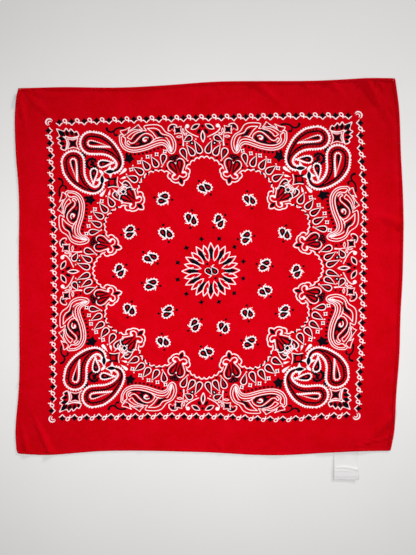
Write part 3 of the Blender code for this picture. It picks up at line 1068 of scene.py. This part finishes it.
def shape_normals(mesh, top_count):
    """Shades the upper face by the cloth's true slope, whatever its triangles are."""
    normal = read(mesh.corner_normals, "vector", 3)
    upper = slice(3 * top_count)
    place = corner_places(mesh)[upper]
    normal[upper] = slopes(place[:, 0], place[:, 1])
    mesh.normals_split_custom_set(normal.tolist())


def lay_flat_map(mesh):
    """A map of the piece as seen from above, in which its looks can be baked."""
    low, high = np.array(cad_bounds)[:, :2]
    layer = mesh.uv_layers.new(name="OFBake")
    layer.data.foreach_set("uv", ((corner_places(mesh)[:, :2] - low) / (high - low).max()).ravel())


# The hem's section, from the outside underneath, over the roll and down to the stitch line:
# (share of its width from the outside, share of its height).
HEM_SECTION = (
    (0.30, 0.04), (0.10, 0.10), (0.00, 0.34), (0.03, 0.66), (0.14, 0.90), (0.30, 1.00), (0.48, 0.99),
    (0.64, 0.90), (0.76, 0.76), (0.85, 0.62), (0.94, 0.66), (1.04, 0.56), (1.08, 0.34), (0.80, 0.10),
    (0.55, 0.04),
)
HEM_STEP = 0.0011
HEM_WANDER = 0.00022  # how far the roll's width drifts
HEM_ROPE = 0.10  # share of its height that the twist and the stitches' pull each add or take
ROPE_PITCH = 0.0052
MITRE_GAP = 0.00015  # between two hems at a corner
STITCH_PITCH = 0.0032
STITCH_INSET = 0.0034
STITCH_LENGTH = 0.0023
STITCH_RADIUS = 0.00022
STITCH_SIDES = 6

# Along one stitch: (share of its length from its middle, height in millimetres, share of its radius).
STITCH_ROWS = (
    (-0.5, -0.20, 0.35), (-0.42, 0.0, 0.8), (-0.2, 0.14, 1.0),
    (0.2, 0.14, 1.0), (0.42, 0.0, 0.8), (0.5, -0.20, 0.35),
)


def side_length(side):
    """A side's length from corner to corner."""
    start, end, _ = SIDES[side]
    return math.dist(CORNERS[start], CORNERS[end])


def rod_faces(rows, around_it, base=0):
    """The faces of a closed rod whose points come in rows, each row once around it."""
    faces = []
    for first in range(base, base + (rows - 1) * around_it, around_it):
        for k in range(around_it):
            a, b = first + k, first + (k + 1) % around_it
            faces.append((a, b, b + around_it, a + around_it))
    faces.append(tuple(base + k for k in range(around_it - 1, -1, -1)))
    faces.append(tuple(base + (rows - 1) * around_it + k for k in range(around_it)))
    return faces


def add_hem(side, material):
    """A rolled hem: its section swept from mitre to mitre, roped by the stitching."""
    length = side_length(side)
    count = round(length / HEM_STEP) + 1
    shares = np.linspace(0, 1, count)
    far = shares * length
    start, end, _ = SIDES[side]
    along = np.subtract(CORNERS[end], CORNERS[start]) / length
    base = lift(*edge_points(side, shares, HEM_WIDTH / 2).T)
    phase = far / ROPE_PITCH + 1.7 * np.sin(far / 0.031) + 1.1 * np.sin(far / 0.0127)
    drift = HEM_WANDER * np.sin(far / 0.019 + 2 * math.sin(50 * length))
    lines = []
    for inset, height in HEM_SECTION:
        plan = edge_points(side, shares, inset * HEM_WIDTH + drift * (1 - inset))
        plan = plan + (MITRE_GAP * (1 - 2 * shares))[:, None] * along
        rope = HEM_ROPE * np.sin(math.pi * phase + 2.4 * inset) * height
        near_stitch = math.exp(-((inset - 0.85) / 0.2) ** 2)
        tight = HEM_ROPE * np.cos(2 * math.pi * far / STITCH_PITCH) * near_stitch
        lines.append(np.column_stack((plan, base + TOP_OF_HEM * np.maximum(height + rope + tight, 0.02))))
    points = np.stack(lines, axis=1).reshape(-1, 3)
    return add_mesh("rolled_hem_" + side, drawn_in(points), rod_faces(count, len(HEM_SECTION)), [material])


def add_stitches(material):
    """The running stitches that hold the hems: one short thread after another, all in one piece."""
    points, faces = [], []
    steps, heights, radii = np.array(STITCH_ROWS).T
    ring = around(1.0, np.linspace(0, 360, STITCH_SIDES, endpoint=False))
    for side in SIDE_NAMES:
        length = side_length(side)
        count = int((length - 2 * HEM_WIDTH) / STITCH_PITCH)
        first = (length - (count - 1) * STITCH_PITCH) / 2
        for k in range(count):
            shares = (first + k * STITCH_PITCH + steps * STITCH_LENGTH) / length
            line = edge_points(side, shares, STITCH_INSET + 0.00012 * math.sin(7.3 * k))
            z = lift(*edge_points(side, shares, HEM_WIDTH / 2).T) + TOP_OF_HEM * 0.66 + heights / 1000
            run = (line[-1] - line[0]) / np.linalg.norm(line[-1] - line[0])
            faces += rod_faces(len(steps), STITCH_SIDES, len(points))
            for (x, y), height, r in zip(line, z, radii * STITCH_RADIUS):
                points += [(x - run[1] * r * c, y + run[0] * r * c, height + r * s) for c, s in ring]
    return add_mesh("hem_stitches", drawn_in(points), faces, [material])


# --- Care label ---------------------------------------------------------------------------

TAPE = 0.00028  # thickness of the label's satin tape
LABEL_COLUMNS = 28
LABEL_ROWS = 46
FOLD_HEIGHT = 0.00055  # of the tape's bend at the free end, at least
LABEL_FLARE = 0.0008  # how far each long edge swings out at the free end
LABEL_CURL = 0.0013  # how high the free end lifts at its right corner
LABEL_EDGE = 0.0005  # how high the long edges curl
LABEL_WAVE = 0.00022


def label_surface(across, down, layer):
    """Points of the label: across and down its length from 0 to 1, on the lower layer (0) or the
    upper one (1). The two are one tape, folded at the free end."""
    x = LABEL_LEFT - 0.0004 + across * (LABEL_RIGHT - LABEL_LEFT + 0.0006)
    y = LABEL_TOP - down * (LABEL_TOP - LABEL_BOTTOM - 0.0006)
    flare = smooth((down - 0.45) / 0.55)
    x = x + flare * (LABEL_FLARE * (2 * across - 1) + 0.0004 * layer)
    curl = LABEL_CURL * smooth((down - 0.35) / 0.65) * (0.30 + 0.70 * across)
    edge = LABEL_EDGE * np.abs(2 * across - 1) ** 4 * smooth((down - 0.2) / 0.5)
    past_crease = down - 0.60 - 0.02 * np.cos(5 * across) - 0.07 * smooth((across - 0.2) / 0.8)
    crease = 0.0007 * np.exp(-((past_crease / 0.038) ** 2)) * smooth((across + 0.05) / 0.3)
    crease = crease + 0.0004 * np.exp(-(((past_crease - 0.10) / 0.030) ** 2)) * smooth((0.9 - across) / 0.4)
    wave = LABEL_WAVE * np.sin(9 * across + 5 * down) * smooth((down - 0.15) / 0.3)
    gap = 0.00012 + 0.0007 * smooth((down - 0.25) / 0.5) * (1 - smooth((down - 0.86) / 0.16))
    z = 0.0003 + curl + edge + layer * (gap + crease + wave)
    return np.column_stack(np.broadcast_arrays(x, y, z))


def add_label(material):
    """The folded label: tape down the back, round the fold and up the front, with both ends sewn in."""
    across, down = np.linspace(0, 1, LABEL_COLUMNS + 1), np.linspace(0, 1, LABEL_ROWS + 1)
    rows = [label_surface(across, t, 0) for t in down]
    low, high = label_surface(across, 1.0, 0), label_surface(across, 1.0, 1)
    high[:, 2] = np.maximum(high[:, 2], low[:, 2] + FOLD_HEIGHT)
    middle, reach = (low + high) / 2, (high[:, 2] - low[:, 2])[:, None] / 2
    for turn in np.radians((-50, 0, 50)):
        rows.append(middle + reach * (0, -math.cos(turn), math.sin(turn)))
    rows += [label_surface(across, t, 1) for t in down[-2::-1]]
    return add_tape("folded_label", np.array(rows), TAPE, material)


def add_tape(name, rows, thickness, material):
    """A closed strip of even thickness on a grid of points, grown outwards from the fold."""
    out = np.cross(np.gradient(rows, axis=1), np.gradient(rows, axis=0))
    out /= np.linalg.norm(out, axis=2)[:, :, None]
    height, width = rows.shape[:2]
    count = height * width
    points = np.concatenate((rows.reshape(-1, 3), (rows + out * thickness).reshape(-1, 3)))
    faces = []
    for k in range(count - width):
        if k % width < width - 1:
            quad = (k, k + 1, k + width + 1, k + width)
            faces += [quad[::-1], tuple(i + count for i in quad)]
    rim = [*range(width), *range(2 * width - 1, count, width)]
    rim += [*range(count - 2, count - width - 1, -1), *range(count - 2 * width, 0, -width)]
    faces += [(p, q, q + count, p + count) for p, q in zip(rim, rim[1:] + rim[:1])]
    return add_mesh(name, points, faces, [material])


# --- Materials ----------------------------------------------------------------------------


THREAD_PITCH = 0.00042
# Painted shade: the colour is darkened from the middle out to the edges and corners, where the light falls
# off.
PAINTED_SHADE_FROM = 0.22  # how far from the middle the painted shade starts to darken the colour
PAINTED_SHADE_FADE = 0.16


def new_material(name):
    """A material, its node tree and its shader."""
    material = bpy.data.materials.new(name)
    material.use_nodes = True
    return material, material.node_tree, material.node_tree.nodes["Principled BSDF"]


def fill(tree, node, inputs):
    """Fills a node's inputs by name: an output is linked to them, and a value is set."""
    for name, value in inputs.items():
        if isinstance(value, bpy.types.NodeSocket):
            tree.links.new(value, node.inputs[name])
        else:
            node.inputs[name].default_value = value


def add_node(tree, kind, output, inputs, **settings):
    """One output of a new shader node with these inputs and settings."""
    node = tree.nodes.new("ShaderNode" + kind)
    for key, value in settings.items():
        setattr(node, key, value)
    fill(tree, node, inputs)
    return node.outputs[output]


def noise(tree, place, scale, stretch=(1, 1, 1), detail=3.0):
    """A noise in the piece's own space, with a scale per metre, stretched along an axis."""
    vector = add_node(tree, "Mapping", "Vector", {"Vector": place, "Scale": stretch})
    inputs = {"Vector": vector, "Scale": scale, "Detail": detail, "Roughness": 0.6}
    return add_node(tree, "TexNoise", "Fac", inputs)


def combined(tree, operation, first, second):
    """The outcome of a sum on two outputs or values."""
    return add_node(tree, "Math", 0, {0: first, 1: second}, operation=operation)


def weighted(tree, *terms):
    """The sum of several outputs, each times its share."""
    total = 0.0
    for output, share in terms:
        total = combined(tree, "ADD", total, combined(tree, "MULTIPLY", output, share))
    return total


def spread(tree, value, low, high, start=0.0, stop=1.0):
    """A value whose run from start to stop is stretched to run from low to high."""
    inputs = {"Value": value, "From Min": start, "From Max": stop, "To Min": low, "To Max": high}
    return add_node(tree, "MapRange", "Result", inputs)


def shades(tree, factor, dark, light, start=0.0):
    """A colour that runs from dark to light as the factor runs from start to 1."""
    ramp = tree.nodes.new("ShaderNodeValToRGB")
    first, last = ramp.color_ramp.elements
    first.position = start
    first.color = (*dark, 1)
    last.color = (*light, 1)
    tree.links.new(factor, ramp.inputs["Fac"])
    return ramp.outputs["Color"]


def bump(tree, height, strength, distance, **under):
    """Small relief, on top of the normal under it."""
    inputs = {"Height": height, "Strength": strength, "Distance": distance, **under}
    return add_node(tree, "Bump", "Normal", inputs)


def weave(tree, place, pitch):
    """A plain weave: threads along both axes, over and under by turns, from 0 to 1."""
    banded = {"Vector": place, "Scale": math.pi / (10 * pitch), "Distortion": 0.0}
    kind = {"wave_type": "BANDS", "wave_profile": "SIN"}
    across, along = (add_node(tree, "TexWave", "Fac", banded, bands_direction=axis, **kind)
                     for axis in "XY")
    over = add_node(tree, "TexChecker", "Fac", {"Vector": place, "Scale": 1 / pitch})
    under = combined(tree, "SUBTRACT", 1.0, over)
    parts = [combined(tree, "MULTIPLY", thread, shows)
             for thread, shows in ((across, over), (along, under))]
    return combined(tree, "ADD", *parts)


def cotton(name, dark, light, roughness, sheen, sheen_tint, specular, shaded_edge_brightness):
    """Woven cotton, or ink on it: a weave with slubs in both directions, mottled colour between a dark and a
    light shade, darkened towards the edges and corners by painted shade, and a soft sheen. The last argument
    is how much of the colour's brightness the painted shade leaves near the edges, where the light falls
    off."""
    material, tree, shader = new_material(name)
    place = add_node(tree, "TexCoord", "Object", {})
    slub_x = noise(tree, place, 900, (0.12, 1, 1))
    slub_y = noise(tree, place, 900, (1, 0.12, 1))
    mottle = noise(tree, place, 34, detail=4.0)
    speck = noise(tree, place, 420, detail=2.0)
    tone = weighted(tree, (mottle, 0.56), (speck, 0.40), (slub_x, 0.24), (slub_y, 0.24))
    from_middle = add_node(tree, "VectorMath", "Value", {0: place}, operation="LENGTH")
    # Painted shade: darkens the colour away from the middle, towards the edges and corners, where the light
    # falls off.
    painted_edge_shade = spread(tree, from_middle, 1.0, shaded_edge_brightness, PAINTED_SHADE_FROM, PAINTED_SHADE_FROM + PAINTED_SHADE_FADE)
    colour = shades(tree, tone, dark, light, 0.62)
    threads = bump(tree, weave(tree, place, THREAD_PITCH), 0.8, 0.00006)
    slubs = bump(tree, combined(tree, "ADD", slub_x, slub_y), 0.6, 0.00025, Normal=threads)
    fill(tree, shader, {
        "Base Color": add_node(tree, "VectorMath", "Vector", {0: colour, "Scale": painted_edge_shade}, operation="SCALE"),
        "Roughness": spread(tree, speck, roughness - 0.07, roughness + 0.07),
        "Specular IOR Level": specular,
        "Sheen Weight": sheen,
        "Sheen Roughness": 0.45,
        "Sheen Tint": (*sheen_tint, 1),
        "Normal": bump(tree, noise(tree, place, 46), 0.5, 0.0020, Normal=slubs),
    })
    return material


def satin_tape():
    """The label's white satin tape: fine threads across it and a low gloss."""
    material, tree, shader = new_material("white_satin")
    place = add_node(tree, "TexCoord", "Object", {})
    rib = noise(tree, place, 2600, (0.06, 1, 1))
    tone = weighted(tree, (rib, 0.5), (noise(tree, place, 60), 0.5))
    fill(tree, shader, {
        "Base Color": shades(tree, tone, (0.66, 0.64, 0.64), (0.80, 0.78, 0.78)),
        "Roughness": spread(tree, rib, 0.42, 0.62),
        "Normal": bump(tree, rib, 0.5, 0.00008),
    })
    return material


def table_top():
    """A matt, pale table with a faint unevenness."""
    material, tree, shader = new_material("table_top")
    tone = noise(tree, add_node(tree, "TexCoord", "Object", {}), 6)
    fill(tree, shader, {
        "Base Color": shades(tree, tone, (0.74, 0.73, 0.72), (0.78, 0.77, 0.765)),
        "Roughness": 0.7,
        "Specular IOR Level": 0.2,
    })
    return material


# --- Stage, light and camera --------------------------------------------------------------

VIEW_LONG_SIDE = 0.8103  # how much of the table the picture's long side takes in
LENS = 26.0
FILM = 36.0
LOOKING_AT = (-0.0015, 0.0022)
TABLE_HALF = 3.0
LIGHTS = (
    # name, where it is, where it points, size, power, colour
    ("lamp", (-0.20, -0.04, 0.60), (-0.20, -0.04, 0.0), 0.25, 1.85, (1.0, 0.99, 0.985)),
    ("lamp", (0.20, -0.04, 0.60), (0.20, -0.04, 0.0), 0.25, 1.85, (1.0, 0.99, 0.985)),
    ("window", (2.5, 2.8, 1.35), (0, 0, 0), 0.7, 90, (1.0, 0.99, 0.98)),
)


def add_stage():
    """The table, which belongs to the picture and not to the object."""
    corners = [(-TABLE_HALF, -TABLE_HALF, 0), (TABLE_HALF, -TABLE_HALF, 0), (TABLE_HALF, TABLE_HALF, 0),
               (-TABLE_HALF, TABLE_HALF, 0)]
    floor = add_mesh("table", corners, [(0, 1, 2, 3)], [table_top()])


def add_lights():
    """Two lamps over the cloth, a window to the upper right and the light of a pale room."""
    for name, at, towards, size, power, colour in LIGHTS:
        light = bpy.data.lights.new(name, "AREA")
        light.shape = "DISK"
        light.size = size
        light.energy = power
        light.color = colour
        lamp = add_object(name, light)
        lamp.location = at
        lamp.rotation_euler = (Vector(towards) - Vector(at)).to_track_quat("-Z", "Y").to_euler()
    world = bpy.data.worlds.new("room")
    world.use_nodes = True
    background = world.node_tree.nodes["Background"]
    fill(world.node_tree, background, {"Color": (0.96, 0.98, 1.0, 1), "Strength": 0.28})
    bpy.context.scene.world = world
    bpy.context.scene.view_settings.view_transform = "Standard"


def add_camera():
    """Looks straight down at the table."""
    camera = bpy.data.cameras.new("camera")
    camera.lens = LENS
    camera.sensor_width = FILM
    holder = add_object("camera", camera)
    holder.location = (*LOOKING_AT, VIEW_LONG_SIDE * LENS / FILM)
    bpy.context.scene.camera = holder


# --- The bandana --------------------------------------------------------------------------

RED_SHEEN = (1.0, 0.08, 0.12)
COTTONS = {
    # dark shade, light shade, roughness, sheen, its tint, specular, brightness left near the edges by the
    # painted shade
    # The red keeps 0.84 of its brightness at the edges and corners, under the painted shade.
    "red_cotton_cloth": ((0.542, 0.0, 0.003), (0.674, 0.0, 0.011), 0.95, 0.03, RED_SHEEN, 0.02, 0.84),
    "white_ink": ((0.92, 0.76, 0.80), (1.0, 0.94, 0.96), 0.85, 0.0, (1, 1, 1), 0.05, 1.0),
    "black_ink": ((0.001, 0.001, 0.003), (0.006, 0.003, 0.007), 0.85, 0.0, (1, 1, 1), 0.05, 1.0),
    "red_thread": ((0.34, 0.0, 0.002), (0.50, 0.001, 0.006), 0.8, 0.1, RED_SHEEN, 0.15, 1.0),
}


def build():
    """Every piece of the bandana, each attached to the root, with the part's own pieces that they replace
    hidden.
    """
    red, white, black, thread = (cotton(name, *look) for name, look in COTTONS.items())
    hems = {side: add_hem(side, red) for side in SIDE_NAMES}
    stitches = add_stitches(thread)
    cloth = add_cloth([red, white, black])
    label = add_label(satin_tape())
    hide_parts("panel")
    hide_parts("care_label")
    for side, hem in hems.items():
        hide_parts("hem_" + side)
    for piece in (cloth, stitches, *hems.values()):
        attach(piece, "root")
    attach(label, "root")


build()
add_stage()
add_lights()
add_camera()
